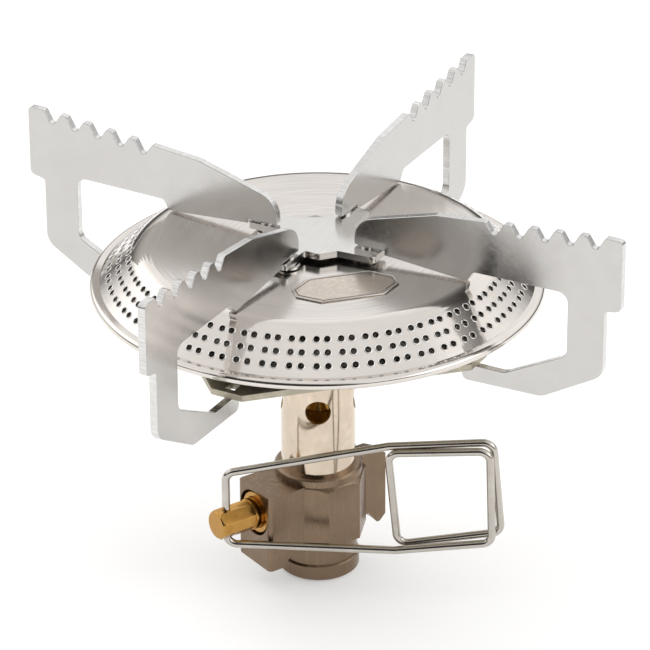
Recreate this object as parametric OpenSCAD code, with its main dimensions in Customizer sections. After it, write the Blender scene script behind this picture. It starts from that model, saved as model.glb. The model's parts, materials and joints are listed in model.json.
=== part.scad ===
// Canister-top camping stove: a round burner on a slim valve body, four folding pot supports
// and a folding wire handle on the valve spindle.
// Origin: middle of the collar's lower face. +Z is up. The pot supports lie along X and Y.

/* [Burner] */
// Height of the flat burner top above the collar's lower face
plateau_z = 67; // [58:0.5:85]
// Outer radius of the burner's rolled rim
disc_r = 42; // [38:0.5:52]
// Radius where the two sides of the cap's shoulder meet, before rounding
shoulder_r = 32.8; // [30:0.1:34]
// Rounding radius of the cap's shoulder
shoulder_round = 5.7; // [3:0.1:7]
// Slope of the cap's cone, in degrees below level
cone_slope = 42; // [35:1:50]
// Sheet thickness of the cap
cap_t = 0.55; // [0.4:0.05:0.8]
// Sheet thickness of the bowl
bowl_t = 0.6; // [0.4:0.05:0.8]
// Radius of the bowl's flat floor
bowl_floor_r = 24; // [18:0.5:28]
// Distance of the badge from the burner's middle
badge_r = 18.2; // [16:0.1:20]
// Half length of the badge
badge_long = 9.6; // [7:0.1:11]
// Half width of the badge
badge_wide = 4.9; // [4:0.1:6]
// Thickness of the badge
badge_t = 0.2; // [0.1:0.05:0.4]

/* [Ports] */
// Pairs of ports in each row
port_pairs = 50; // [30:1:56]
// Radius of one port
port_r = 0.58; // [0.3:0.02:0.7]
// Angle between the two ports of a pair, as a share of the pairs' pitch
pair_share = 0.43; // [0.4:0.01:0.5]
// Distance of the first row from the shoulder's corner, measured outward
first_row = 1.85; // [1.5:0.05:2.2]
// Distance between rows, measured outward
row_pitch = 1.9; // [1.6:0.05:2.2]
// Number of rows
port_rows = 3; // [1:1:3]

/* [Pot supports] */
// Sheet thickness of a pot support
support_t = 1.5; // [1:0.1:2]
// Height of the pot rests above the burner top
rest_rise = 15; // [12:0.5:20]
// Free gap between the burner's rim and a support's leg
rim_gap = 9.35; // [8:0.05:14]
// Width of a support's leg
leg_w = 7.2; // [5:0.1:9]
// How far a support's head stands out past its leg
head_step = 3.2; // [1:0.1:5]
// Depth of the notches in the toothed edge
notch_depth = 2.3; // [1.8:0.05:2.6]
// Width of a notch at the teeth's tips
notch_w = 3.7; // [3.2:0.05:4]
// Width of a notch at its floor, before rounding
notch_floor = 0.9; // [0.8:0.05:1.2]
// Rounding radius of the teeth's tips
tip_round = 0.5; // [0.2:0.05:0.6]
// Rounding radius of the notches' floors
floor_round = 0.65; // [0.3:0.05:0.7]
// Distance between notches
notch_pitch = 4.98; // [4.9:0.02:5.2]
// Number of notches
notches = 5; // [3:1:5]
// Slope of the toothed edge, in degrees
edge_slope = 5.3; // [3:0.1:7]
// Distance of the swivel rivets from the burner's middle
pivot_r = 10.5; // [9:0.1:12]
// Radius of a swivel rivet's shank
rivet_r = 1.2; // [0.8:0.05:1.5]
// Height of the lower limb at its tip
limb_h = 3.3; // [2.5:0.1:4]
// Distance from a support's outer end to its first notch
first_in = 5.3; // [5:0.1:6]

/* [Plates] */
// Thickness of the top and bottom plates
plate_t = 1.25; // [1:0.05:1.6]
// Gap between the burner top and the top plate
spacer_t = 0.85; // [0.8:0.05:1.5]
// Width of a top plate's tab on its broad side, from the middle of the support
tab_half = 3.7; // [3:0.1:4]
// Width of a tab on its narrow side, over which the support folds
tab_narrow = 1.3; // [1.2:0.1:2]
// Length of a top plate's tab beyond the rivet
tab_over = 3.3; // [3:0.1:4]
// Distance from the middle to the flats of the top plate's hub
hub_flat = 7; // [6.6:0.1:7.6]
// Half width of the bottom plate, flat to flat
bottom_half = 26; // [24:0.5:28]
// Distance of the bottom plate's cut corners from the middle
bottom_corner_r = 33.6; // [32:0.1:35]
// Height of the bottom plate's upper face below the burner's rolled rim
bottom_drop = 7.48; // [6:0.02:9.5]

/* [Mixing tube] */
// Outer radius of the mixing tube
tube_r = 7; // [6:0.1:7.6]
// Wall of the mixing tube
tube_t = 0.8; // [0.5:0.05:1.2]
// Radius of an air hole
air_r = 2.4; // [1.5:0.1:3]
// Height of the air holes above the collar's lower face
air_z = 35.7; // [32:0.1:40]
// Direction of the first air hole
air_angle = 29; // [0:1:89]

/* [Valve body] */
// Direction of the valve stem
stem_angle = -26; // [-45:1:0]
// Height of the valve stem
stem_z = 15.5; // [14.5:0.1:16.5]
// Reach of the valve block on the stem's side
block_half = 14.8; // [13:0.1:18]
// Width of the valve block
block_w = 10.3; // [9:0.1:13]
// Radius of the cut turned into the block's underside around the neck
neck_cut_r = 12.8; // [11:0.1:14]
// Lower face of the valve block
block_bottom = 4.9; // [4:0.1:6]
// Upper face of the valve block
block_top = 20.5; // [20:0.1:21.5]
// Half the width across flats of the eight-sided barrel
barrel_half = 8.5; // [8.4:0.05:9.5]
// Radius of the ring around the mixing tube
ring_r = 8.3; // [8.1:0.05:9.3]
// Top of the ring around the mixing tube
barrel_top = 22.1; // [21.5:0.1:24]
// Reach of the rear fin
fin_reach = 14.3; // [12:0.1:18]
// Thickness of the rear fin
fin_t = 3.6; // [2.5:0.1:5]
// Radius of the collar that screws onto the canister
collar_r = 7.65; // [7.2:0.05:8.2]
// Radius of the thread bore in the collar
thread_r = 5.56; // [5:0.01:6]
// Depth of the thread bore
thread_depth = 8.4; // [7.5:0.1:9]

/* [Spindle and handle] */
// Radius of the spindle
spindle_r = 3; // [2.5:0.05:3.3]
// Distance of the spindle's outer end from the middle of the stove
spindle_end = 23.3; // [23:0.1:26]
// Distance of the cross hole from the middle of the stove
cross_hole = 21; // [20.6:0.1:22]
// Radius of the handle's wire
wire_r = 0.75; // [0.6:0.05:0.9]
// Reach of the wire handle from the cross hole
handle_reach = 49.5; // [40:0.5:60]
// Length of the loop at the handle's end
loop_len = 19.1; // [14:0.1:22]
// Height of the handle's upper run above the stem, at the spindle
upper_run = 10.4; // [9:0.1:12]
// Depth of the handle's lower run below the stem, at the spindle
lower_run = 4.6; // [4.4:0.1:6]
// Bend radius of the wire
wire_bend = 2; // [1.5:0.1:3]
// Angle between the folded handle and the valve block
fold_angle = 43.5; // [43:0.5:60]

/* [Fits] */
// Radial clearance of parts that turn in a bore
run_clear = 0.05; // [0.02:0.01:0.1]
// Clearance between parts that slide past each other
slide_clear = 0.3; // [0.2:0.05:0.6]

/* [Hidden] */
$fn = 96;
eps = 0.01;

// Burner: rim and bowl
curl_r = bowl_t / 2 + cap_t;
curl_x = disc_r - curl_r;
curl_lift = 0.1;
curl_z = plateau_z - (curl_x - shoulder_r) * tan(cone_slope) + curl_lift;
flange_w = 1.2;
bottom_top = curl_z - bottom_drop;
bottom_under = bottom_top - plate_t;

// Pot supports
top_under = plateau_z + spacer_t;
top_face = top_under + plate_t;
tab_r = pivot_r + tab_over;
tab_reach = norm([tab_over, tab_narrow]);
step_r = pivot_r + tab_reach + slide_clear;
rest_z = plateau_z + rest_rise;
leg_in = disc_r + rim_gap;
leg_out = leg_in + leg_w;
head_out = leg_out + head_step;
first_notch = head_out - first_in;
foot_in = 1.6;
foot_r = shoulder_r - foot_in;
head_round = 0.9;
limb_top = bottom_under - slide_clear;
limb_under = limb_top - limb_h;
tip_in = 3.2;
tip_r = bottom_corner_r - tip_in;
limb_slope = 27.5;
knee_under = 2.58;
knee_z = curl_z - knee_under;
keel_len = 12;
keel_rise = 7.4;
head_under = plateau_z + 0.6;
foot_rise = 1.2;
window_rise = 2;
land_len = 10;
end_in = 2.4;
end_h = 4.74;
end_round = 4.6;

// Valve: bores along the stem
gland_r = 4;
gland_len = 3;
dark_gap = 0.5;
stem_bore_r = spindle_r + 0.35;
stem_bore_end = 5;
neck_top = block_bottom + 3;
socket_z = barrel_top - 2.4;
post_r = 3.2;
post_top = air_z - 5.6;
tube_top = bottom_top + bowl_t + 0.9;
tube_in = tube_r - tube_t;
inlet_r = 2.3;
inlet_top = thread_depth + 3.4;
seal_t = 1.6;
seal_r = 4.4;
filter_t = 0.5;
pin_r = 0.8;
gas_way_r = 0.8;
jet_way_r = 0.65;
groove_len = 1.4;
groove_depth = 0.7;
groove_at = block_half - gland_len - 2.4;
flat_share = 0.9;
washer_t = 0.6;
jet_bore_r = 1;

function unit(v) = v / norm(v);
function turned(v, a) = [v.x * cos(a) - v.y * sin(a), v.x * sin(a) + v.y * cos(a)];
function heading(v) = atan2(v.y, v.x);
function wrapped(a) = a > 180 ? a - 360 : a < -180 ? a + 360 : a;

// Points of one corner: [x, y, radius] between its neighbours, as a short arc of steps + 1 points
function corner(before, here, after, steps) =
    let (p = [here.x, here.y], a = unit([before.x, before.y] - p), b = unit([after.x, after.y] - p))
    let (half = acos(max(-1, min(1, a * b))) / 2, start = p + a * here.z / tan(half))
    let (middle = p + unit(a + b) * here.z / sin(half))
    let (sweep = wrapped(heading(p + b * here.z / tan(half) - middle) - heading(start - middle)))
    [for (k = [0:steps]) middle + turned(start - middle, sweep * k / steps)];

// Outline whose corners [x, y, radius] are rounded where the radius is above zero
function rounded(points, steps = 6) =
    let (n = len(points))
    [for (i = [0:n - 1])
        for (p = points[i].z > 0
                 ? corner(points[(i + n - 1) % n], points[i], points[(i + 1) % n], steps)
                 : [[points[i].x, points[i].y]]) p];

module quarter_turns(n) {
    rotate([0, 0, 90 * n]) children();
}

// Places children with +Z pointing outward along the stem, starting at the stove's middle
module along_stem(distance) {
    rotate([0, 0, stem_angle]) translate([distance, 0, stem_z]) rotate([0, 90, 0]) children();
}

module ring(outer, inner, height) {
    difference() {
        cylinder(r = outer, h = height);
        translate([0, 0, -1]) cylinder(r = inner, h = height + 2);
    }
}

// ---- Burner ----

module burner_cap() {
    in_z = curl_z + bowl_t / 2;
    rim_top = curl_z + curl_r;
    cone_out = shoulder_r + (plateau_z - rim_top) / tan(cone_slope);
    inner_corner = shoulder_r - cap_t * tan(cone_slope / 2);
    cone_in = inner_corner + (plateau_z - cap_t - in_z) / tan(cone_slope);
    color("gainsboro") difference() {
        rotate_extrude($fn = 180)
            polygon(concat(
                rounded([[0, plateau_z, 0], [shoulder_r, plateau_z, shoulder_round], [cone_out, rim_top, 0]]),
                [for (a = [90:-15:-90]) [curl_x + curl_r * cos(a), curl_z + curl_r * sin(a)]],
                [[curl_x - 1, curl_z - curl_r], [curl_x - 1, curl_z - bowl_t / 2]],
                [for (a = [-90:30:90]) [curl_x + bowl_t / 2 * cos(a), curl_z + bowl_t / 2 * sin(a)]],
                rounded([[cone_in, in_z, 0], [inner_corner, plateau_z - cap_t, shoulder_round - cap_t],
                         [0, plateau_z - cap_t, 0]])));
        for (row = [0:port_rows - 1]) port_row(shoulder_r + first_row + row * row_pitch);
    }
}

// One row of ports, in pairs, each drilled square to the cone
module port_row(r) {
    pitch = 360 / port_pairs;
    for (pair = [0:port_pairs - 1], side = [0, 1])
        rotate([0, 0, (pair + side * pair_share) * pitch])
            translate([r, 0, plateau_z - (r - shoulder_r) * tan(cone_slope)])
                rotate([0, cone_slope, 0]) translate([0, 0, -2]) cylinder(r = port_r, h = 4, $fn = 16);
}

module burner_bowl() {
    flange_top = curl_z + bowl_t / 2;
    flange_under = curl_z - bowl_t / 2;
    wall_top = curl_x - flange_w;
    color("lightslategray") rotate_extrude($fn = 180)
        polygon([[tube_r, bottom_top], [bowl_floor_r, bottom_top], [wall_top, flange_under],
                 [curl_x, flange_under], [curl_x, flange_top], [wall_top - 0.3, flange_top],
                 [bowl_floor_r - 0.15, bottom_top + bowl_t], [tube_r, bottom_top + bowl_t]]);
}

module flame_screen() {
    hole_pitch = 2.6;
    hole_r = 0.9;
    screen_t = 0.5;
    color("silver") difference() {
        translate([0, 0, tube_top]) cylinder(r = tube_r, h = screen_t);
        for (i = [-2:2], j = [-2:2])
            if (norm([i + j / 2, j * sqrt(3) / 2]) < 2.1)
                translate([(i + j / 2) * hole_pitch, j * sqrt(3) / 2 * hole_pitch, tube_top - 1])
                    cylinder(r = hole_r, h = screen_t + 2, $fn = 16);
    }
}

// Blank eight-sided badge between two of the pot supports
module badge_plate() {
    side = badge_long * 0.62;
    end = badge_wide * 0.35;
    color("tan") rotate([0, 0, 45]) translate([badge_r, 0, plateau_z]) linear_extrude(badge_t)
        polygon([[-badge_wide, -side], [-end, -badge_long], [end, -badge_long], [badge_wide, -side],
                 [badge_wide, side], [end, badge_long], [-end, badge_long], [-badge_wide, side]]);
}

// ---- Plates ----

module plate_spacer() {
    spacer_r = 4.5;
    color("dimgray") translate([0, 0, plateau_z]) cylinder(r = spacer_r, h = spacer_t);
}

// Four tabs around an eight-sided hub; each tab is narrow on the side its support folds to
module top_plate() {
    cut = 0.6 * hub_flat;
    quarter = [[tab_r, -tab_half, 1], [tab_r, tab_narrow, 0.5], [hub_flat, tab_narrow, 0.5],
               [hub_flat, cut, 0.6], [cut, hub_flat - 0.4, 0.6]];
    color("silver") translate([0, 0, top_under]) difference() {
        linear_extrude(plate_t)
            polygon(rounded([for (n = [0:3], p = quarter) let (q = turned(p, 90 * n)) [q.x, q.y, p.z]]));
        for (n = [0:3]) quarter_turns(n)
            translate([pivot_r, 0, -1]) cylinder(r = rivet_r + run_clear, h = plate_t + 2, $fn = 32);
    }
}

module bottom_plate() {
    slot_len = 2.4;
    slot_in = 1.2;
    slot_w = support_t + 0.4;
    color("darkkhaki") translate([0, 0, bottom_under]) difference() {
        linear_extrude(plate_t) difference() {
            intersection() {
                rotate(45) square(2 * bottom_half, center = true);
                square(2 * bottom_corner_r, center = true);
            }
            for (n = [0:3]) rotate(90 * n)
                translate([bottom_corner_r - slot_in - slot_len, -slot_w / 2]) square([slot_len, slot_w]);
        }
        translate([0, 0, -1]) cylinder(r = tube_r, h = plate_t + 2);
    }
}

// ---- Pot supports ----

// Height of the toothed edge at a distance from the axis
function edge_z(r) = rest_z - (first_notch + notch_w / 2 - r) * tan(edge_slope);

// Points of notch k, from its outer side inward
function notch(k) =
    let (middle = first_notch - k * notch_pitch)
    [[middle + notch_w / 2, edge_z(middle + notch_w / 2), k == 0 ? 0.3 : tip_round],
     [middle + notch_floor / 2, edge_z(middle) - notch_depth, floor_round],
     [middle - notch_floor / 2, edge_z(middle) - notch_depth, floor_round],
     [middle - notch_w / 2, edge_z(middle - notch_w / 2), tip_round]];

// Side view of a pot support: x is the distance from the burner's axis, y the height
module support_outline() {
    inner_land = first_notch - (notches - 1) * notch_pitch - notch_w / 2 - land_len;
    inner_end = pivot_r - end_in;
    rest_under = top_face + slide_clear;
    end_z = rest_under + end_h;
    foot_z = plateau_z + slide_clear;
    knee_r = leg_in - (knee_z - limb_top) / tan(limb_slope);
    polygon(rounded(concat(
        [[inner_end, rest_under, 0.4],
         [step_r, rest_under, 0],
         [step_r, foot_z + foot_rise, 0],
         [foot_r - 1, foot_z, 0.3],
         [foot_r, foot_z, 0.3],
         [foot_r + 1.2, foot_z + window_rise, 1],
         [leg_in, foot_z + window_rise + 0.2, 2],
         [leg_in, knee_z, 2.2],
         [knee_r, limb_top, 3],
         [tip_r, limb_top, 0.5],
         [tip_r, limb_under, 1.2],
         [leg_out - keel_len, limb_under + 0.4, 4],
         [leg_out, limb_under + keel_rise, 3.4],
         [leg_out, head_under, 0.7],
         [head_out, head_under + 0.6, 1.2],
         [head_out, rest_z, head_round]],
        [for (k = [0:notches - 1]) each notch(k)],
        [[inner_land, edge_z(inner_land), 3],
         [inner_end, end_z, end_round]])));
}

module pot_support(n) {
    color("silver") quarter_turns(n) rotate([90, 0, 0])
        linear_extrude(support_t, center = true) support_outline();
}

// The rivet that a pot support turns on: a shank through the top plate and a head under it
module swivel_rivet(n) {
    head_t = 0.4;
    head_low = plateau_z + (spacer_t - head_t) / 2;
    color("gray") quarter_turns(n) translate([pivot_r, 0, head_low]) {
        cylinder(r = rivet_r, h = top_face + slide_clear - head_low, $fn = 32);
        cylinder(r = rivet_r + 0.8, h = head_t, $fn = 32);
    }
}

module pot_support_1() { pot_support(0); }
module pot_support_2() { pot_support(1); }
module pot_support_3() { pot_support(2); }
module pot_support_4() { pot_support(3); }
module swivel_rivet_1() { swivel_rivet(0); }
module swivel_rivet_2() { swivel_rivet(1); }
module swivel_rivet_3() { swivel_rivet(2); }
module swivel_rivet_4() { swivel_rivet(3); }

// ---- Mixing tube and jet ----

module mixing_tube() {
    color("wheat") difference() {
        translate([0, 0, socket_z]) ring(tube_r, tube_in, tube_top - socket_z);
        for (n = [0:3]) rotate([0, 0, air_angle + 90 * n]) translate([0, 0, air_z])
            rotate([0, 90, 0]) cylinder(r = air_r, h = 2 * tube_r, $fn = 48);
    }
}

module jet_washer() {
    color("chocolate") translate([0, 0, post_top]) ring(post_r, jet_bore_r, washer_t);
}

module jet() {
    base = post_top + washer_t;
    hex_r = 3.1;
    hex_h = 3;
    nose_h = 2.4;
    color("goldenrod") difference() {
        union() {
            translate([0, 0, base]) cylinder(r = hex_r, h = hex_h, $fn = 6);
            translate([0, 0, base + hex_h]) cylinder(r1 = 2.5, r2 = 1.4, h = nose_h, $fn = 48);
        }
        translate([0, 0, base - 1]) cylinder(r = jet_bore_r, h = hex_h + 1.8, $fn = 24);
        translate([0, 0, base]) cylinder(r = 0.2, h = hex_h + nose_h + 1, $fn = 16);
    }
}

// ---- Valve body ----

module stem_block() {
    rotate([0, 0, stem_angle]) translate([0, 0, block_bottom])
        linear_extrude(block_top - block_bottom)
            polygon(rounded([[0, -block_w / 2, 0], [block_half, -block_w / 2, 0.8],
                             [block_half, block_w / 2, 0.8], [0, block_w / 2, 0]], 3));
}

// Fin at the back, with a cut lower corner
module rear_fin() {
    cut = 1.3;
    high = block_top + 0.6;
    low = block_bottom + 0.5;
    rotate([0, 0, stem_angle]) rotate([90, 0, 0]) linear_extrude(fin_t, center = true)
        polygon([[0, low], [-fin_reach + cut, low], [-fin_reach, low + cut], [-fin_reach, high - cut],
                 [-fin_reach + 2 * cut, high], [0, high]]);
}

// Eight-sided barrel, its corners turned off at both ends
module barrel() {
    corner_r = barrel_half / cos(22.5);
    turned = 1.1;
    intersection() {
        translate([0, 0, block_bottom]) rotate([0, 0, stem_angle + 22.5])
            cylinder(r = corner_r, h = block_top - block_bottom, $fn = 8);
        rotate_extrude()
            polygon([[0, block_bottom], [barrel_half - 0.3, block_bottom],
                     [corner_r + 0.2, block_bottom + turned], [corner_r + 0.2, block_top - turned],
                     [ring_r - 0.1, block_top], [0, block_top]]);
    }
}

// What is turned away under the barrel, around the neck
module neck_cut() {
    rotate_extrude()
        polygon([[collar_r - 0.4, block_bottom - 1], [neck_cut_r + 0.8, block_bottom - 1],
                 [neck_cut_r, block_bottom], [neck_cut_r - 2.3, neck_top], [collar_r - 0.4, neck_top]]);
}

// Collar, neck and the ring around the tube
module body_turning() {
    collar_top = 3.2;
    neck_r = collar_r - 0.4;
    rotate_extrude()
        polygon([[0, 0], [collar_r - 0.4, 0], [collar_r, 0.4], [collar_r, collar_top - 0.3],
                 [collar_r - 0.3, collar_top], [neck_r, collar_top], [neck_r, block_top - 1],
                 [ring_r, block_top - 1], [ring_r, barrel_top - 0.4], [ring_r - 0.4, barrel_top],
                 [0, barrel_top]]);
}

module valve_body() {
    color("rosybrown") difference() {
        union() {
            stem_block();
            rear_fin();
            barrel();
            body_turning();
            cylinder(r = post_r, h = post_top);
        }
        neck_cut();
        // Socket for the mixing tube, around the jet's post
        translate([0, 0, socket_z]) ring(tube_r, post_r, barrel_top - socket_z + 1);
        // Canister thread, seal seat and inlet chamber
        translate([0, 0, -1]) cylinder(r = thread_r, h = thread_depth + 1);
        translate([0, 0, thread_depth - eps]) cylinder(r = seal_r, h = seal_t + eps);
        translate([0, 0, thread_depth]) cylinder(r = inlet_r, h = inlet_top - thread_depth);
        // Gas way from the inlet chamber up into the stem bore
        rotate([0, 0, stem_angle]) translate([1.2, 0, inlet_top - gas_way_r]) rotate([0, 55, 0])
            cylinder(r = gas_way_r, h = 6, $fn = 24);
        // Stem bore, gland bore, needle seat and the way up to the jet
        along_stem(stem_bore_end) cylinder(r = stem_bore_r, h = block_half, $fn = 64);
        along_stem(block_half - gland_len) cylinder(r = gland_r + dark_gap, h = gland_len + 1, $fn = 64);
        along_stem(-gas_way_r) cylinder(r = gas_way_r, h = stem_bore_end, $fn = 24);
        translate([0, 0, stem_z]) cylinder(r = jet_way_r, h = post_top, $fn = 24);
    }
}

module gland_nut() {
    seat = block_half - gland_len;
    color("gold") along_stem(seat) difference() {
        union() {
            cylinder(r = gland_r + dark_gap, h = 1, $fn = 64);
            cylinder(r = gland_r, h = gland_len - 0.3, $fn = 64);
        }
        translate([0, 0, -1]) cylinder(r = spindle_r + run_clear, h = gland_len + 2, $fn = 64);
    }
}

module canister_seal() {
    color("black") translate([0, 0, thread_depth]) ring(seal_r, inlet_r, seal_t);
}

module gas_filter() {
    color("darkgoldenrod") translate([0, 0, inlet_top - filter_t])
        cylinder(r = inlet_r, h = filter_t, $fn = 48);
}

// Fixed pin that opens the canister's valve, its tip inside the seal
module actuator_pin() {
    tip_z = thread_depth + 0.1;
    color("goldenrod") {
        translate([0, 0, tip_z]) cylinder(r = pin_r, h = inlet_top - filter_t - 0.3 - tip_z, $fn = 32);
        translate([0, 0, thread_depth + seal_t]) cylinder(r = 2 * pin_r, h = 0.5, $fn = 32);
    }
}

// ---- Spindle and handle ----

module spindle() {
    shoulder = stem_bore_end + 1.4;
    flat = spindle_r * flat_share;
    color("goldenrod") difference() {
        union() {
            along_stem(shoulder) cylinder(r = spindle_r, h = spindle_end - shoulder - 0.5, $fn = 64);
            along_stem(spindle_end - 0.5) cylinder(r1 = spindle_r, r2 = spindle_r - 0.5, h = 0.5, $fn = 64);
            along_stem(stem_bore_end + 0.1) cylinder(r1 = 0.5, r2 = 1.4, h = 1.3, $fn = 32);
        }
        along_stem(groove_at) ring(spindle_r + 1, spindle_r - groove_depth, groove_len);
        // Eight wrench flats on the outer end
        for (k = [0:7]) along_stem(block_half + 1.2) rotate([0, 0, 45 * k])
            translate([flat, -5, 0]) cube([3, 10, spindle_end]);
        along_stem(cross_hole) rotate([0, 90, 0])
            cylinder(r = wire_r + run_clear, h = 4 * spindle_r, center = true, $fn = 32);
    }
}

module spindle_seal() {
    color("black") along_stem(groove_at + groove_len / 2) rotate_extrude()
        translate([spindle_r - 0.2, 0]) circle(r = 0.5, $fn = 24);
}

// Centre line of a wire through p, bent to one radius at each inner point
function bend_at(p, i, bend) =
    let (u = unit(p[i] - p[i - 1]), v = unit(p[i + 1] - p[i]), sweep = acos(u * v))
    let (n = unit(v - u * (u * v)), middle = p[i] - u * bend * tan(sweep / 2) + n * bend)
    let (steps = ceil(sweep / 18))
    [for (k = [0:steps]) middle + bend * (u * sin(sweep * k / steps) - n * cos(sweep * k / steps))];

function centre_line(p, bend) =
    [p[0], for (i = [1:len(p) - 2]) each bend_at(p, i, bend), p[len(p) - 1]];

// Direction of the line q at its point i
function direction(q, i) = unit(q[min(i + 1, len(q) - 1)] - q[max(i - 1, 0)]);

// Side vectors carried along the line without twist
function carried(q, first) =
    [for (i = 0, n = first; i < len(q); i = i + 1,
          n = i < len(q) ? unit(n - direction(q, i) * (n * direction(q, i))) : n) n];

// Round wire along the line q
module wire(q, r, sides = 16) {
    n = carried(q, [1, 0, 0]);
    last = (len(q) - 1) * sides;
    rings = [for (i = [0:len(q) - 1], k = [0:sides - 1])
        q[i] + r * (n[i] * cos(360 * k / sides) + cross(direction(q, i), n[i]) * sin(360 * k / sides))];
    walls = [for (i = [0:len(q) - 2], k = [0:sides - 1])
        let (a = i * sides + k, b = i * sides + (k + 1) % sides)
        each [[a, b, a + sides], [b, b + sides, a + sides]]];
    ends = [[for (k = [sides - 1:-1:0]) k], [for (k = [0:sides - 1]) last + k]];
    polyhedron(points = rings, faces = [for (f = concat(walls, ends)) [for (k = [len(f) - 1:-1:0]) f[k]]],
               convexity = 8);
}

// Handle: x runs outward from the cross hole, y across the two turns of the loop, z up
module valve_handle() {
    coil = 2 * wire_r + 0.2;
    loop_in = handle_reach - loop_len;
    loop_low = stem_z - 2.5;
    loop_high = loop_low + loop_len;
    far_turn = [[loop_in, coil / 2, loop_high + 1.3], [handle_reach + 0.1, coil, loop_high + 3.1],
                [handle_reach + 1.8, coil, loop_low + 3.5], [loop_in + 1.6, coil, loop_low - 0.6]];
    near_turn = [[loop_in, 0, loop_high + 0.3], [handle_reach - 0.3, 0, loop_high + 2.1],
                 [handle_reach + 0.3, 0, loop_low + 2], [loop_in + 1.4, 0, loop_low - 1]];
    upper_end = [[0, 0, stem_z + 0.6], [0, 0, stem_z + upper_run]];
    lower_end = [[0, 0, stem_z - lower_run], [0, 0, stem_z - 0.6]];
    color("whitesmoke") rotate([0, 0, stem_angle]) translate([cross_hole, 0, 0])
        rotate([0, 0, 180 - fold_angle])
            wire(centre_line(concat(upper_end, far_turn, near_turn, lower_end), wire_bend), wire_r);
}

valve_body();
mixing_tube();
jet();
jet_washer();
flame_screen();
burner_bowl();
burner_cap();
plate_spacer();
top_plate();
bottom_plate();
badge_plate();
gland_nut();
canister_seal();
gas_filter();
actuator_pin();
spindle();
spindle_seal();
valve_handle();
pot_support_1();
pot_support_2();
pot_support_3();
pot_support_4();
swivel_rivet_1();
swivel_rivet_2();
swivel_rivet_3();
swivel_rivet_4();
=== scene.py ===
import json
import math

import bmesh
import bpy
import numpy as np
from mathutils import Matrix, Vector


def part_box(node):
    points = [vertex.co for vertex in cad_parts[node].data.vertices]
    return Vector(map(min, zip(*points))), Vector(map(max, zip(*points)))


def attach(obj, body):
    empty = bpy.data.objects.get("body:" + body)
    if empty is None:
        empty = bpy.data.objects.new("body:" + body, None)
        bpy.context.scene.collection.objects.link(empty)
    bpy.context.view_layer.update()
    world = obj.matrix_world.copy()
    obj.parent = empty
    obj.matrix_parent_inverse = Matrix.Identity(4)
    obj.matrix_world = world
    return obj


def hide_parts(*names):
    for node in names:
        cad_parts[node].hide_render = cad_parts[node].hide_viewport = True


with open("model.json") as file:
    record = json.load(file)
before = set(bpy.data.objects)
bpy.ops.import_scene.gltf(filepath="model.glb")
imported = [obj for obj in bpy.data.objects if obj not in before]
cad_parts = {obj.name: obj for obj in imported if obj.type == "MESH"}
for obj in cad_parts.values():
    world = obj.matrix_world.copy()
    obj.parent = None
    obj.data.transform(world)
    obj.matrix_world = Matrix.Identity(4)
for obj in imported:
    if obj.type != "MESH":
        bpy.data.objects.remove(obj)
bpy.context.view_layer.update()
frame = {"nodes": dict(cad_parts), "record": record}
nodes = frame["nodes"]
slotOf = {part["node"]: part["material_slot"] for part in frame["record"]["subparts"]}
bodyOf = {node: body for body, members in frame["record"]["behaviour"]["bodies"].items() for node in members}
print("stove frame loaded:", len(nodes), "nodes")

cameraView = {
    "target": (0.0, 0.0, 0.0505),   # a point on the burner's axis
    "distance": 0.7696,
    "turn": 29.16,                  # direction of the camera, from +X towards +Y
    "height": 26.99,
    "roll": -0.31,
    "lens": 230.15,
    "shiftX": 0.0113,
}


def addCamera(v):
    turn, height, roll = (math.radians(v[k]) for k in ("turn", "height", "roll"))
    flat = math.cos(height)
    forward = -Vector((math.cos(turn) * flat, math.sin(turn) * flat, math.sin(height)))
    level = forward.cross(Vector((0, 0, 1))).normalized()
    upright = level.cross(forward)
    right = level * math.cos(roll) + upright * math.sin(roll)
    up = upright * math.cos(roll) - level * math.sin(roll)
    data = bpy.data.cameras.new("camera")
    data.lens, data.sensor_width, data.shift_x = v["lens"], 36, v["shiftX"]
    data.clip_start, data.clip_end = 0.01, 20
    camera = bpy.data.objects.new("camera", data)
    bpy.context.scene.collection.objects.link(camera)
    turned = Matrix((right, up, -forward)).transposed().to_4x4()
    camera.matrix_world = Matrix.Translation(Vector(v["target"]) - forward * v["distance"]) @ turned
    bpy.context.scene.camera = camera
    print("camera placed")


addCamera(cameraView)

studio = {
    "floorColour": (0.66, 0.658, 0.654, 1),
    "floorRough": 0.75,
    "floorGlow": 0.36,              # the paper is also lit from below
    "floorHalf": 3.0,
    "floorDrop": 0.0002,            # the floor lies this far under the collar
    # brightness of the dome by height: 0 is the horizon, 1 is overhead
    "dome": ((0.0, 0.06), (0.14, 0.12), (0.32, 0.92), (0.52, 1.20), (0.80, 0.98), (1.0, 1.0)),
    "dimmest": 0.05,
    # patches of the dome: direction of the middle, added brightness, and the cosines it fades between
    "patches": (
        ((-0.21, -0.90, 0.38), 0.6, 0.85, 0.96),
        ((-0.21, 0.90, 0.38), 1.0, 0.85, 0.96),
        ((0.919, 0.195, 0.342), -1.1, 0.75, 0.90),
    ),
    "lampAim": (0, 0, 0.03),
    # soft lamps: place, size, power
    "lamps": (
        ((-0.10, -0.60, 1.05), 0.5, 2.4),
        ((0.75, 0.35, 1.00), 0.9, 1.9),
        ((-0.30, 0.80, 1.00), 0.9, 1.9),
    ),
}


def addLamp(name, place, aim, size, power):
    light = bpy.data.lights.new(name, "AREA")
    light.shape, light.size, light.energy = "SQUARE", size, power
    lamp = bpy.data.objects.new(name, light)
    bpy.context.scene.collection.objects.link(lamp)
    lamp.location = place
    lamp.rotation_euler = (Vector(aim) - Vector(place)).to_track_quat("-Z", "Y").to_euler()
    lamp.visible_glossy = False     # it lights and shades, and the dome alone is mirrored


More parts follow.
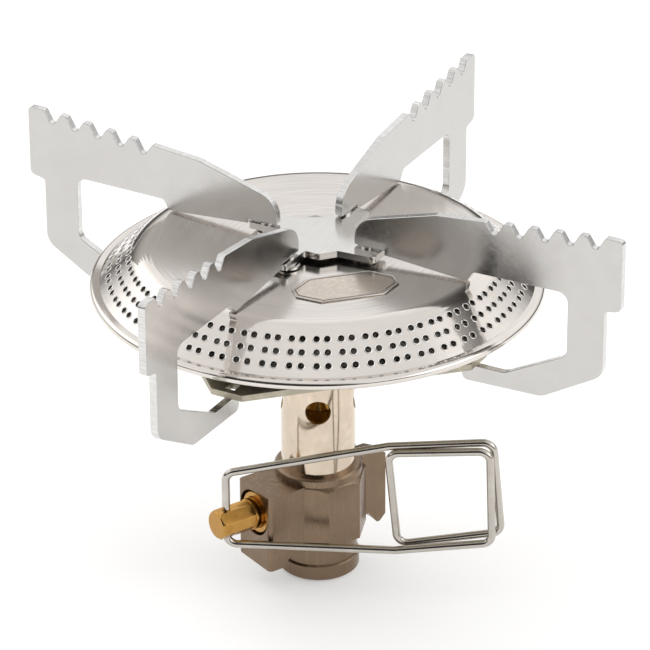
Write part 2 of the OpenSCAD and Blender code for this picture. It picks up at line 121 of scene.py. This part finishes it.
def addFloor(v):
    half = v["floorHalf"]
    mesh = bpy.data.meshes.new("floor")
    corners = [(-half, -half, 0), (half, -half, 0), (half, half, 0), (-half, half, 0)]
    mesh.from_pydata(corners, [], [(0, 1, 2, 3)])
    floor = bpy.data.objects.new("floor", mesh)
    bpy.context.scene.collection.objects.link(floor)
    floor.location.z = -v["floorDrop"]
    paper = bpy.data.materials.new("paleFloor")
    paper.use_nodes = True
    shader = paper.node_tree.nodes["Principled BSDF"]
    shader.inputs["Base Color"].default_value = v["floorColour"]
    shader.inputs["Roughness"].default_value = v["floorRough"]
    shader.inputs["Emission Color"].default_value = (1, 1, 1, 1)
    shader.inputs["Emission Strength"].default_value = v["floorGlow"]
    mesh.materials.append(paper)


def addSky(v):
    # a soft dome: dim at the horizon, brighter overhead, with bright patches and a dark one
    world = bpy.data.worlds.new("studio")
    bpy.context.scene.world = world
    world.use_nodes = True
    tree = world.node_tree
    place = tree.nodes.new("ShaderNodeTexCoord")
    split = tree.nodes.new("ShaderNodeSeparateXYZ")
    ramp = tree.nodes.new("ShaderNodeValToRGB")
    tree.links.new(place.outputs["Generated"], split.inputs[0])
    tree.links.new(split.outputs["Z"], ramp.inputs[0])
    stops = ramp.color_ramp.elements
    stops.remove(stops[1])
    for i, (position, value) in enumerate(v["dome"]):
        stop = stops[0] if i == 0 else stops.new(position)
        stop.position, stop.color = position, (value, value, value, 1)
    total = ramp.outputs[0]
    for way, gain, low, high in v["patches"]:
        dot, both = (tree.nodes.new("ShaderNodeVectorMath") for _ in range(2))
        dot.operation, both.operation = "DOT_PRODUCT", "ADD"
        dot.inputs[1].default_value = Vector(way).normalized()
        patch = tree.nodes.new("ShaderNodeMapRange")
        patch.interpolation_type = "SMOOTHSTEP"
        for i, x in zip((1, 2, 3, 4), (low, high, 0, gain)):
            patch.inputs[i].default_value = x
        tree.links.new(place.outputs["Generated"], dot.inputs[0])
        tree.links.new(dot.outputs["Value"], patch.inputs[0])
        tree.links.new(total, both.inputs[0])
        tree.links.new(patch.outputs[0], both.inputs[1])
        total = both.outputs[0]
    lifted = tree.nodes.new("ShaderNodeVectorMath")
    lifted.operation = "MAXIMUM"
    lifted.inputs[1].default_value = (v["dimmest"],) * 3
    tree.links.new(total, lifted.inputs[0])
    tree.links.new(lifted.outputs[0], tree.nodes["Background"].inputs["Color"])


addFloor(studio)
addSky(studio)
for i, (place, size, power) in enumerate(studio["lamps"]):
    addLamp(f"lamp{i + 1}", place, studio["lampAim"], size, power)
bpy.context.scene.view_settings.view_transform = "Standard"
print("floor and light ready")


# Materials. All patterns read object coordinates in metres.

grainDepth = 0.00003
blotchRough = (-0.03, 0.04)     # what the broad blotches add to the roughness
# where a metal doesn't give its own
usualBump = 0.15
usualDim = 0.86                 # how dark the grain's lines are


def addNode(tree, kind, **values):
    node = tree.nodes.new("ShaderNode" + kind)
    for key, value in values.items():
        if key in node.inputs:
            node.inputs[key].default_value = value
        else:
            setattr(node, key, value)
    return node


def noiseOf(tree, vector, scale, detail, stretch=(1, 1, 1)):
    mapping = addNode(tree, "Mapping", Scale=stretch)
    noise = addNode(tree, "TexNoise", Scale=scale, Detail=detail, Roughness=0.6)
    tree.links.new(vector, mapping.inputs["Vector"])
    tree.links.new(mapping.outputs[0], noise.inputs["Vector"])
    return noise.outputs["Fac"]


def ranged(tree, value, low, high, fromLow=0.3, fromHigh=0.7):
    spread = addNode(tree, "MapRange")
    for i, x in zip((1, 2, 3, 4), (fromLow, fromHigh, low, high)):
        spread.inputs[i].default_value = x
    tree.links.new(value, spread.inputs[0])
    return spread.outputs[0]


def mixed(tree, factor, one, two):
    mix = addNode(tree, "Mix", data_type="RGBA")
    tree.links.new(factor, mix.inputs[0])
    for socket, colour in ((mix.inputs[6], one), (mix.inputs[7], two)):
        if hasattr(colour, "is_output"):
            tree.links.new(colour, socket)
        else:
            socket.default_value = (*colour, 1)
    return mix.outputs[2]


def ringVector(tree, place):
    # (radius, direction around Z) as one vector, so that noise runs in arcs around the axis
    flat = addNode(tree, "VectorMath", operation="MULTIPLY")
    flat.inputs[1].default_value = (1, 1, 0)
    tree.links.new(place, flat.inputs[0])
    length = addNode(tree, "VectorMath", operation="LENGTH")
    way = addNode(tree, "VectorMath", operation="NORMALIZE")
    tree.links.new(flat.outputs[0], length.inputs[0])
    tree.links.new(flat.outputs[0], way.inputs[0])
    split = addNode(tree, "SeparateXYZ")
    tree.links.new(way.outputs[0], split.inputs[0])
    joined = addNode(tree, "CombineXYZ")
    tree.links.new(length.outputs["Value"], joined.inputs[0])
    tree.links.new(split.outputs[0], joined.inputs[1])
    tree.links.new(split.outputs[1], joined.inputs[2])
    return joined.outputs[0]


def metal(name, v):
    # grain is the noise's scale along each axis, per metre; with rings it is along the radius and around Z
    m = bpy.data.materials.new(name)
    m.use_nodes = True
    tree = m.node_tree
    shader = tree.nodes["Principled BSDF"]
    shader.inputs["Metallic"].default_value = v.get("metallic", 1.0)
    place = addNode(tree, "TexCoord").outputs["Object"]
    lines = ringVector(tree, place) if v.get("rings") else place
    grain = noiseOf(tree, lines, 1.0, 2.0, v["grain"])
    broad = noiseOf(tree, place, v["blotch"], 3.0)
    base = mixed(tree, ranged(tree, broad, 0, 1), v["colour"], v["shade"])
    dark = tuple(c * v.get("dim", usualDim) for c in v["colour"])
    fine = mixed(tree, ranged(tree, grain, 0, 1, 0.35, 0.65), base, dark)
    tree.links.new(fine, shader.inputs["Base Color"])
    rough = addNode(tree, "Math", operation="ADD")
    tree.links.new(ranged(tree, grain, *v["rough"]), rough.inputs[0])
    tree.links.new(ranged(tree, broad, *blotchRough), rough.inputs[1])
    tree.links.new(rough.outputs[0], shader.inputs["Roughness"])
    bump = addNode(tree, "Bump", Strength=v.get("bump", usualBump), Distance=grainDepth)
    tree.links.new(grain, bump.inputs["Height"])
    tree.links.new(bump.outputs[0], shader.inputs["Normal"])
    if v.get("anisotropic"):
        shader.inputs["Anisotropic"].default_value = v["anisotropic"]
        tangent = addNode(tree, "Tangent", direction_type="RADIAL", axis="Z")
        tree.links.new(tangent.outputs[0], shader.inputs["Tangent"])
    return m


armSide = dict(colour=(0.595, 0.58, 0.562), shade=(0.565, 0.548, 0.528), rough=(0.18, 0.24), blotch=160,
               bump=0.012, dim=0.96)
# the cut edges are the arms' steel with their own striated finish, given a much lighter colour as a painted
# highlight for the light the edges catch
cutEdgeWithHighlight = dict(colour=(0.80, 0.79, 0.775), shade=(0.70, 0.68, 0.66), rough=(0.16, 0.30), blotch=500,
               bump=0.2, dim=0.76)
metals = {
    "armSideX": dict(armSide, grain=(900, 2600, 2600)),
    "armSideY": dict(armSide, grain=(2600, 900, 2600)),
    "cutEdgeWithHighlightX": dict(cutEdgeWithHighlight, grain=(4200, 150, 4200)),
    "cutEdgeWithHighlightY": dict(cutEdgeWithHighlight, grain=(150, 4200, 4200)),
    "plateSteel": dict(colour=(0.72, 0.705, 0.68), shade=(0.66, 0.64, 0.61), rough=(0.14, 0.24),
                       grain=(60, 2200, 2200), blotch=90, bump=0.06, dim=0.94),
    "underPlateSteel": dict(colour=(0.52, 0.48, 0.385), shade=(0.44, 0.40, 0.31), rough=(0.42, 0.56),
                            grain=(1200, 1200, 1200), blotch=140, bump=0.03),
    "capSpun": dict(colour=(0.725, 0.685, 0.645), shade=(0.70, 0.658, 0.615), rough=(0.15, 0.23),
                    grain=(1700, 2.0, 2.0), rings=True, blotch=60, bump=0.03, anisotropic=0.5, dim=0.90),
    "capPolished": dict(colour=(0.745, 0.70, 0.655), shade=(0.695, 0.648, 0.60), rough=(0.07, 0.13),
                        grain=(1200, 4, 4), rings=True, blotch=160, bump=0.02, dim=0.94),
    "bowlSteel": dict(colour=(0.62, 0.59, 0.54), shade=(0.50, 0.46, 0.40), rough=(0.12, 0.22),
                      grain=(1500, 4, 4), rings=True, blotch=100, bump=0.05),
    "tubeNickel": dict(colour=(0.76, 0.65, 0.53), shade=(0.60, 0.485, 0.365), rough=(0.07, 0.15),
                       grain=(600, 600, 300), blotch=380, bump=0.05, dim=0.86),
    # the tube's bare brass inside, lifted to full brightness and made non-metal as painted light, since
    # little light reaches the bore
    "tubeInsideWithPaintedLight": dict(colour=(1.0, 0.80, 0.34), shade=(0.88, 0.66, 0.24), rough=(0.5, 0.65),
                       grain=(900, 900, 900), blotch=400, metallic=0.0),
    # the punched lips get a much lighter steel than the cone: a painted highlight on the port rims
    "lipSteelHighlight": dict(colour=(0.90, 0.88, 0.855), shade=(0.82, 0.80, 0.775), rough=(0.12, 0.2),
                     grain=(1500, 1500, 1500), blotch=300, bump=0.02),
    "bodyNickel": dict(colour=(0.262, 0.187, 0.127), shade=(0.195, 0.135, 0.089), rough=(0.25, 0.35),
                       grain=(1700, 1700, 60), blotch=170, bump=0.02, dim=0.87),
    "brass": dict(colour=(0.565, 0.312, 0.083), shade=(0.41, 0.212, 0.052), rough=(0.14, 0.24),
                  grain=(700, 700, 700), blotch=260, bump=0.03, dim=0.88),
    "copper": dict(colour=(0.62, 0.33, 0.20), shade=(0.45, 0.22, 0.13), rough=(0.25, 0.4),
                   grain=(1500, 1500, 1500), blotch=300),
    "wireSteel": dict(colour=(0.585, 0.55, 0.505), shade=(0.47, 0.43, 0.385), rough=(0.05, 0.11),
                      grain=(500, 500, 500), blotch=260, bump=0.02),
    "badgeMetal": dict(colour=(0.66, 0.585, 0.51), shade=(0.60, 0.53, 0.46), rough=(0.20, 0.27),
                       grain=(1200, 1200, 1200), blotch=500, bump=0.03),
    # the own dark steel of the screen and spacer, also used as painted shade for the badge's groove line
    "darkSteelAndPaintedShade": dict(colour=(0.30, 0.28, 0.26), shade=(0.22, 0.20, 0.18), rough=(0.3, 0.45),
                      grain=(900, 900, 900), blotch=300),
    "rubber": dict(colour=(0.02, 0.02, 0.02), shade=(0.035, 0.035, 0.035), rough=(0.5, 0.7),
                   grain=(900, 900, 900), blotch=300, metallic=0.0),
}
finishes = {name: metal(name, values) for name, values in metals.items()}
finishOfSlot = {
    "satin_nickel": "bodyNickel",
    "polished_nickel": "tubeNickel",
    "brass": "brass",
    "copper": "copper",
    "screen_steel": "darkSteelAndPaintedShade",
    "bowl_steel": "bowlSteel",
    "cap_steel": "capPolished",
    "spacer_steel": "darkSteelAndPaintedShade",
    "plate_steel": "plateSteel",
    "under_plate_steel": "underPlateSteel",
    "badge_enamel": "badgeMetal",
    "rubber": "rubber",
    "sintered_bronze": "copper",
    "spindle_brass": "brass",
    "wire_steel": "wireSteel",
    "support_steel": "armSideX",
    "rivet_steel": "plateSteel",
}
for name, node in nodes.items():
    node.data.materials.clear()
    node.data.materials.append(finishes[finishOfSlot[slotOf[name]]])
print("finishes ready:", len(finishes))


# Pieces made from merged copies of the CAD nodes.

def adopt(piece, node):
    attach(piece, bodyOf[node])
    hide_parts(node)


def newPiece(name, mesh):
    piece = bpy.data.objects.new(name, mesh)
    bpy.context.scene.collection.objects.link(piece)
    return piece


mergeDistance = 2e-6
flatAngle = math.radians(0.5)


def mergedCopy(name, node, flatten):
    # one closed mesh from a node's loose triangles; flatten joins its flat areas
    bm = bmesh.new()
    bm.from_mesh(nodes[node].data)
    bmesh.ops.remove_doubles(bm, verts=bm.verts, dist=mergeDistance)
    if flatten:
        bmesh.ops.dissolve_limit(bm, angle_limit=flatAngle, verts=bm.verts, edges=bm.edges)
    mesh = bpy.data.meshes.new(name)
    bm.to_mesh(mesh)
    bm.free()
    mesh.materials.clear()
    return mesh


def finishedCopy(name, node, bevel, finish, smooth, flatten=True):
    mesh = mergedCopy(name, node, flatten)
    mesh.shade_smooth()
    mesh.set_sharp_from_angle(angle=math.radians(smooth))
    mesh.materials.append(finishes[finish])
    piece = newPiece(name, mesh)
    if bevel:
        edges = piece.modifiers.new("edges", "BEVEL")
        edges.width, edges.segments, edges.limit_method = bevel, 2, "ANGLE"
        edges.angle_limit = math.radians(smooth)
        edges.use_clamp_overlap = True
        edges.harden_normals = True
    adopt(piece, node)
    return piece


def faceArrays(mesh):
    # normals per face, and per corner its face and its vertex
    count = len(mesh.polygons)
    normals = np.empty(count * 3)
    mesh.polygons.foreach_get("normal", normals)
    sizes = np.empty(count, int)
    mesh.polygons.foreach_get("loop_total", sizes)
    corners = np.empty(len(mesh.loops), int)
    mesh.loops.foreach_get("vertex_index", corners)
    points = np.empty(len(mesh.vertices) * 3)
    mesh.vertices.foreach_get("co", points)
    return normals.reshape(-1, 3), np.repeat(np.arange(count), sizes), corners, points.reshape(-1, 3)


def faceRadii(owner, corners, points):
    # distance of each face's middle from the Z axis
    centres = np.zeros((owner[-1] + 1, 3))
    np.add.at(centres, owner, points[corners])
    centres /= np.bincount(owner)[:, None]
    return np.hypot(centres[:, 0], centres[:, 1])


turnedLimit = 12            # degrees between a facet and the turned surface that it stands for
touching = 1e-6             # points this close to an edge count as on it
notZero = 1e-9              # least length to divide by


def trueNormals(mesh, wanted):
    # corners of faces that lie close to a turned surface take that surface's own normal
    normals, owner, corners, points = faceArrays(mesh)
    flat = normals[owner]
    exact = wanted(points[corners])
    close = (flat * exact).sum(1) > math.cos(math.radians(turnedLimit))
    mesh.shade_smooth()
    mesh.normals_split_custom_set(np.where(close[:, None], exact, flat).tolist())


capLow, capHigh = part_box("burner_cap")
capShape = {
    "top": capHigh.z,       # height of the plateau
    "shoulder": 0.0328,     # radius where plateau and cone would meet
    "round": 0.0057,        # rounding between them
    "slope": 42.0,
    "rimRadius": 0.00085,   # of the rolled rim's own section
    "plateauEnd": 0.0306,
}


def capNormal(points):
    # the tilt grows from 0 to the cone's slope across the rounded shoulder, and the rolled rim is a half ring
    v = capShape
    radius = np.hypot(points[:, 0], points[:, 1])
    slope = math.radians(v["slope"])
    start = v["shoulder"] - v["round"] * math.tan(slope / 2)
    tilt = np.arcsin(np.clip((radius - start) / v["round"], 0, math.sin(slope)))
    rimCentre, rimHeight = capHigh.x - v["rimRadius"], capLow.z + v["rimRadius"]
    coneEnd = v["shoulder"] + (v["top"] - rimHeight - v["rimRadius"]) / math.tan(slope)
    tilt = np.where(radius > coneEnd - touching, 0, tilt)
    curl = np.arctan2(radius - rimCentre, points[:, 2] - rimHeight)
    tilt = np.where(radius > rimCentre - touching, curl, tilt)
    safe = np.maximum(radius, notZero)
    return np.stack([np.sin(tilt) * points[:, 0] / safe, np.sin(tilt) * points[:, 1] / safe, np.cos(tilt)], 1)


def makeCap(v):
    mesh = mergedCopy("burnerCap", "burner_cap", False)
    for finish in ("capPolished", "capSpun"):
        mesh.materials.append(finishes[finish])
    spun = faceRadii(*faceArrays(mesh)[1:]) < v["plateauEnd"]
    mesh.polygons.foreach_set("material_index", spun.astype(np.int32))
    trueNormals(mesh, capNormal)
    piece = newPiece("burnerCap", mesh)
    adopt(piece, "burner_cap")
    print("burner cap:", len(mesh.polygons), "faces")


makeCap(capShape)

portLips = {
    "pairs": 50,
    "share": 0.43,          # place of a pair's second port, in pitches
    "rows": 3,
    "firstRow": 0.00185,    # distance of the first row outside the shoulder
    "rowPitch": 0.0019,
    "radius": 0.00067,
    "wire": 0.00011,        # half thickness of the punched lip
    "around": 16,
    "section": 6,
}


def ringQuads(around, section):
    # faces of a closed ring whose points are numbered section by section
    i, j = (g.ravel() for g in np.meshgrid(np.arange(around), np.arange(section), indexing="ij"))
    nextI, nextJ = (i + 1) % around, (j + 1) % section
    return np.stack([i * section + j, nextI * section + j, nextI * section + nextJ, i * section + nextJ], 1)


def makePortLips(v):
    # small rings square to the cone: port place + ring radius around the port + lip section around that
    slope = math.radians(capShape["slope"])
    pitch = 2 * math.pi / v["pairs"]
    turn = (np.arange(v["pairs"])[:, None] + np.array([0, v["share"]])[None]).ravel() * pitch
    rows = capShape["shoulder"] + v["firstRow"] + v["rowPitch"] * np.arange(v["rows"])
    radius, turn = (a.ravel() for a in np.meshgrid(rows, turn, indexing="ij"))
    height = capShape["top"] - (radius - capShape["shoulder"]) * math.tan(slope)
    out = np.stack([np.cos(turn), np.sin(turn), 0 * turn], 1)
    side = np.stack([-np.sin(turn), np.cos(turn), 0 * turn], 1)
    normal = out * math.sin(slope) + np.array([0, 0, math.cos(slope)])
    down = out * math.cos(slope) - np.array([0, 0, math.sin(slope)])
    centre = out * radius[:, None] + np.array([0, 0, 1]) * height[:, None]
    a, b = np.meshgrid(np.arange(v["around"]), np.arange(v["section"]), indexing="ij")
    a, b = a.ravel() * 2 * math.pi / v["around"], b.ravel() * 2 * math.pi / v["section"]
    reach = v["radius"] + v["wire"] * np.cos(b)
    points = (centre[:, None] + side[:, None] * (reach * np.cos(a))[None, :, None]
              + down[:, None] * (reach * np.sin(a))[None, :, None]
              + normal[:, None] * (v["wire"] * np.sin(b))[None, :, None])
    each = v["around"] * v["section"]
    starts = each * np.arange(len(centre))[:, None, None]
    faces = (ringQuads(v["around"], v["section"])[None] + starts).reshape(-1, 4)
    mesh = bpy.data.meshes.new("portLips")
    mesh.from_pydata(points.reshape(-1, 3).tolist(), [], faces.tolist())
    mesh.shade_smooth()
    # the lips' light colour is a painted highlight
    mesh.materials.append(finishes["lipSteelHighlight"])
    piece = newPiece("portLips", mesh)
    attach(piece, "stove")
    print("port lips:", len(centre))


makePortLips(portLips)

tube = {
    "innerEnd": 0.0066,     # faces whose middle lies nearer to the axis belong to the inner wall
    "wallTilt": 0.5,        # unless they face up or down by more than this share
}


def radialNormal(points):
    # straight out from the Z axis
    flat = points * np.array([1, 1, 0])
    return flat / np.maximum(np.linalg.norm(flat, axis=1), notZero)[:, None]


def makeTube(v):
    mesh = mergedCopy("mixingTube", "mixing_tube", False)
    for finish in ("tubeNickel", "tubeInsideWithPaintedLight"):
        mesh.materials.append(finishes[finish])
    normals, owner, corners, points = faceArrays(mesh)
    # faces of the inner wall take the brass finish that holds painted light
    inner = (faceRadii(owner, corners, points) < v["innerEnd"]) & (np.abs(normals[:, 2]) < v["wallTilt"])
    mesh.polygons.foreach_set("material_index", inner.astype(np.int32))
    trueNormals(mesh, radialNormal)
    adopt(newPiece("mixingTube", mesh), "mixing_tube")


makeTube(tube)

support = {
    "bevel": 0.00012,
    "smooth": 25,
    "flatLimit": 0.99,      # how square a face is to the sheet to count as its side
}


def makeSupports(v):
    for n in range(4):
        node = f"pot_support_{n + 1}"
        side = ("armSideX", "armSideY")[n % 2]
        piece = finishedCopy(f"potSupport{n + 1}", node, v["bevel"], side, v["smooth"])
        mesh = piece.data
        mesh.materials.append(finishes[("cutEdgeWithHighlightX", "cutEdgeWithHighlightY")[n % 2]])
        normals, _, _, _ = faceArrays(mesh)
        # faces not square to the sheet are the cut edges; they take the lighter finish that holds the painted
        # highlight
        cut = np.abs(normals[:, 1 - n % 2]) < v["flatLimit"]
        mesh.polygons.foreach_set("material_index", cut.astype(np.int32))
    print("pot supports ready")


makeSupports(support)

plainCopies = {
    # piece: node, bevel, finish, smoothing angle, and whether its flat areas are joined
    "topPlate": ("top_plate", 0.00018, "plateSteel", 30, False),
    "bottomPlate": ("bottom_plate", 0.00018, "underPlateSteel", 30, True),
    "valveBody": ("valve_body", 0.00022, "bodyNickel", 28, True),
    "glandNut": ("gland_nut", 0.00012, "brass", 35, True),
    "valveSpindle": ("spindle", 0.00012, "brass", 28, True),
    "badgePlate": ("badge_plate", 0.00006, "badgeMetal", 30, True),
    "burnerBowl": ("burner_bowl", 0, "bowlSteel", 35, True),
}
for name, values in plainCopies.items():
    finishedCopy(name, *values)
print("plain pieces ready")

badgeLow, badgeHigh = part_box("badge_plate")
badge = {
    "place": (badgeLow + badgeHigh).xy.length / 2,      # distance of its middle from the burner's axis
    "top": badgeHigh.z,
    "long": 0.0096,
    "wide": 0.0049,
    "sideShare": 0.62,      # half length of the long sides, as a share of the badge's
    "endShare": 0.35,       # half width of the ends
    "turn": 45.0,
    "wire": 0.00011,
    "section": 8,
    "height": 0.7,          # height of the bead as a share of its width
    "rimInset": 0.0001,     # how far the two beads lie inside the badge's edge
    "lineInset": 0.0006,
}


def makeBadgeBorder(name, v, inset, finish):
    # a thin round bead along the badge's eight sides: corner + bead section, joined into a closed ring
    side, end = v["long"] * v["sideShare"], v["wide"] * v["endShare"]
    corners = np.array([(-v["wide"], -side), (-end, -v["long"]), (end, -v["long"]), (v["wide"], -side),
                        (v["wide"], side), (end, v["long"]), (-end, v["long"]), (-v["wide"], side)])
    corners = np.sign(corners) * (np.abs(corners) - inset)
    before, after = np.roll(corners, 1, 0), np.roll(corners, -1, 0)
    one, two = corners - before, after - corners
    one /= np.linalg.norm(one, axis=1)[:, None]
    two /= np.linalg.norm(two, axis=1)[:, None]
    out = np.stack([one[:, 1] + two[:, 1], -one[:, 0] - two[:, 0]], 1)
    out /= (1 + (one * two).sum(1))[:, None]
    a = np.arange(v["section"]) * 2 * math.pi / v["section"]
    flat = corners[:, None] + out[:, None] * (v["wire"] * np.cos(a))[None, :, None]
    rise = v["wire"] * v["height"] * np.sin(a)
    points = np.concatenate([flat, np.tile(rise[None, :, None], (len(corners), 1, 1))], 2)
    turn = math.radians(v["turn"])
    x, y, z = points[..., 0] + v["place"], points[..., 1], points[..., 2] + v["top"]
    cos, sin = math.cos(turn), math.sin(turn)
    points = np.stack([x * cos - y * sin, x * sin + y * cos, z], -1)
    mesh = bpy.data.meshes.new(name)
    mesh.from_pydata(points.reshape(-1, 3).tolist(), [], ringQuads(len(corners), len(a)).tolist())
    mesh.shade_smooth()
    mesh.materials.append(finishes[finish])
    piece = newPiece(name, mesh)
    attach(piece, "stove")


makeBadgeBorder("badgeRim", badge, badge["rimInset"], "plateSteel")
# the inner bead is a dark line of painted shade, standing in for the shade in the badge's engraved groove
makeBadgeBorder("badgeShadeLine", badge, badge["lineInset"], "darkSteelAndPaintedShade")
print("badge ready")

handle = {
    "stemAngle": -26.0,
    "foldAngle": 43.5,
    "crossHole": 0.021,     # distance of the cross hole from the stove's middle
    "stemHeight": 0.0155,
    "wire": 0.00075,
    "bend": 0.002,          # inner line radius of every bend
    "reach": 0.0495,        # from the cross hole to the loop's far side
    "loop": 0.0191,         # the loop's length and height
    "drop": 0.0025,         # the loop's lower side lies this far under the cross hole
    "coil": 0.0017,         # distance between the two turns of the loop
    # how far each turn's corners stand off the loop's square, as (along, up):
    # near top, far top, far bottom, near bottom
    "firstTurn": ((0, 0.0013), (0.0001, 0.0031), (0.0018, 0.0035), (0.0016, -0.0006)),
    "secondTurn": ((0, 0.0003), (-0.0003, 0.0021), (0.0003, 0.002), (0.0014, -0.001)),
    "stub": 0.0006,         # the wire's two ends stop this far above and below the hole's middle
    "upperRun": 0.0104,
    "lowerRun": 0.0046,
    "steps": 14,            # points along one bend
    "sides": 28,
}


def bentLine(points, bend, steps):
    # straight runs joined by arcs that touch both: middle + bend * (u sin t - n cos t)
    before, after = points[1:-1] - points[:-2], points[2:] - points[1:-1]
    u = before / np.linalg.norm(before, axis=1)[:, None]
    w = after / np.linalg.norm(after, axis=1)[:, None]
    sweep = np.arccos(np.clip((u * w).sum(1), -1, 1))
    n = w - u * (u * w).sum(1)[:, None]
    n /= np.linalg.norm(n, axis=1)[:, None]
    middle = points[1:-1] - u * (bend * np.tan(sweep / 2))[:, None] + n * bend
    t = sweep[:, None] * np.linspace(0, 1, steps)[None]
    arcs = middle[:, None] + bend * (u[:, None] * np.sin(t)[..., None] - n[:, None] * np.cos(t)[..., None])
    return np.concatenate([points[:1], arcs.reshape(-1, 3), points[-1:]])


endAngle = math.radians(50)     # the wire's flat ends keep a sharp edge


def sweptWire(name, line, across, radius, sides):
    # a ring of points around each point of the line, with flat closed ends
    way = np.gradient(line, axis=0)
    way /= np.linalg.norm(way, axis=1)[:, None]
    one = np.cross(way, across)
    one /= np.linalg.norm(one, axis=1)[:, None]
    two = np.cross(way, one)
    a = np.arange(sides) * 2 * math.pi / sides
    around = one[:, None] * np.cos(a)[None, :, None] + two[:, None] * np.sin(a)[None, :, None]
    points = line[:, None] + radius * around
    i, j = np.meshgrid(np.arange(len(line) - 1), np.arange(sides), indexing="ij")
    i, j = i.ravel(), j.ravel()
    k = (j + 1) % sides
    walls = np.stack([i * sides + j, i * sides + k, (i + 1) * sides + k, (i + 1) * sides + j], 1).tolist()
    last = (len(line) - 1) * sides
    ends = [list(range(sides - 1, -1, -1)), list(range(last, last + sides))]
    mesh = bpy.data.meshes.new(name)
    mesh.from_pydata(points.reshape(-1, 3).tolist(), [], walls + ends)
    mesh.shade_smooth()
    mesh.set_sharp_from_angle(angle=endAngle)
    return mesh


def makeHandle(v):
    z, far, coil = v["stemHeight"], v["reach"], v["coil"]
    near, low = far - v["loop"], z - v["drop"]
    high = low + v["loop"]
    square = ((near, high), (far, high), (far, low), (near, low))
    points = [(0, 0, z + v["stub"]), (0, 0, z + v["upperRun"])]
    for offsets, aside in ((v["firstTurn"], (coil / 2, coil, coil, coil)), (v["secondTurn"], (0, 0, 0, 0))):
        points += [(x + along, y, h + up) for (x, h), (along, up), y in zip(square, offsets, aside)]
    points += [(0, 0, z - v["lowerRun"]), (0, 0, z - v["stub"])]
    line = bentLine(np.array(points), v["bend"], v["steps"])
    stem = Matrix.Rotation(math.radians(v["stemAngle"]), 4, "Z")
    swing = Matrix.Rotation(math.radians(180 - v["foldAngle"]), 4, "Z")
    grid = np.array(stem @ Matrix.Translation((v["crossHole"], 0, 0)) @ swing)
    line = line @ grid[:3, :3].T + grid[:3, 3]
    mesh = sweptWire("handleWire", line, grid[:3, 1], v["wire"], v["sides"])
    mesh.materials.append(finishes["wireSteel"])
    adopt(newPiece("handleWire", mesh), "valve_handle")
    print("handle wire:", len(mesh.polygons), "faces")


makeHandle(handle)
